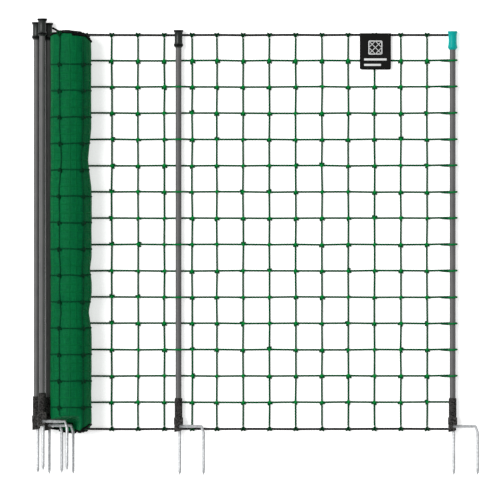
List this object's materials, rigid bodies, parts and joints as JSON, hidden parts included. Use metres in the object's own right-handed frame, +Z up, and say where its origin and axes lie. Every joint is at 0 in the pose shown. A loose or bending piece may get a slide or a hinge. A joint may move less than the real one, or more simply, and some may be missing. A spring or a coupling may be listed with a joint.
{
  "type": "poultry netting",
  "caption": "Knotted poultry netting lying flat, part spread and part rolled, with black edge lines, capped posts with double ground spikes and a hanging tag.",
  "frame": {"origin": "middle of the footprint, on the floor that the netting lies on", "axes": "+Y from the foot line to the head line, +X from the roll to the end post, +Z up from the floor"},
  "size_m": [1.2764, 1.303, 0.1134],
  "materials": {
    "twine": "dark green twisted polyethylene twine",
    "line": "black braided polyethylene rope",
    "rolled_net": "green netting wound up, turns lying close",
    "rod": "dark grey extruded plastic, satin",
    "cap": "black moulded plastic, low sheen",
    "end_cap": "teal moulded plastic, low sheen",
    "foot": "black moulded plastic with a grained grip",
    "steel": "galvanised steel bar, drawn and bright",
    "tag": "black plastic plate with pale printing"
  },
  "bodies": {
    "root": {"net_mesh": "twine", "head_line": "line", "foot_line": "line", "net_roll": "rolled_net", "woven_post_cap": "cap", "woven_post_rod": "rod", "woven_post_foot": "foot", "woven_post_double_spike": "steel", "end_post_cap": "end_cap", "end_post_rod": "rod", "end_post_foot": "foot", "end_post_double_spike": "steel", "spare_post_left_cap": "cap", "spare_post_left_rod": "rod", "spare_post_left_foot": "foot", "spare_post_left_double_spike": "steel", "spare_post_right_cap": "cap", "spare_post_right_rod": "rod", "spare_post_right_foot": "foot", "spare_post_right_double_spike": "steel", "spare_post_top_cap": "cap", "spare_post_top_rod": "rod", "spare_post_top_foot": "foot", "spare_post_top_double_spike": "steel", "head_line_tie": "line", "foot_line_tie": "line", "tag_plate": "tag"}
  },
  "joints": []
}
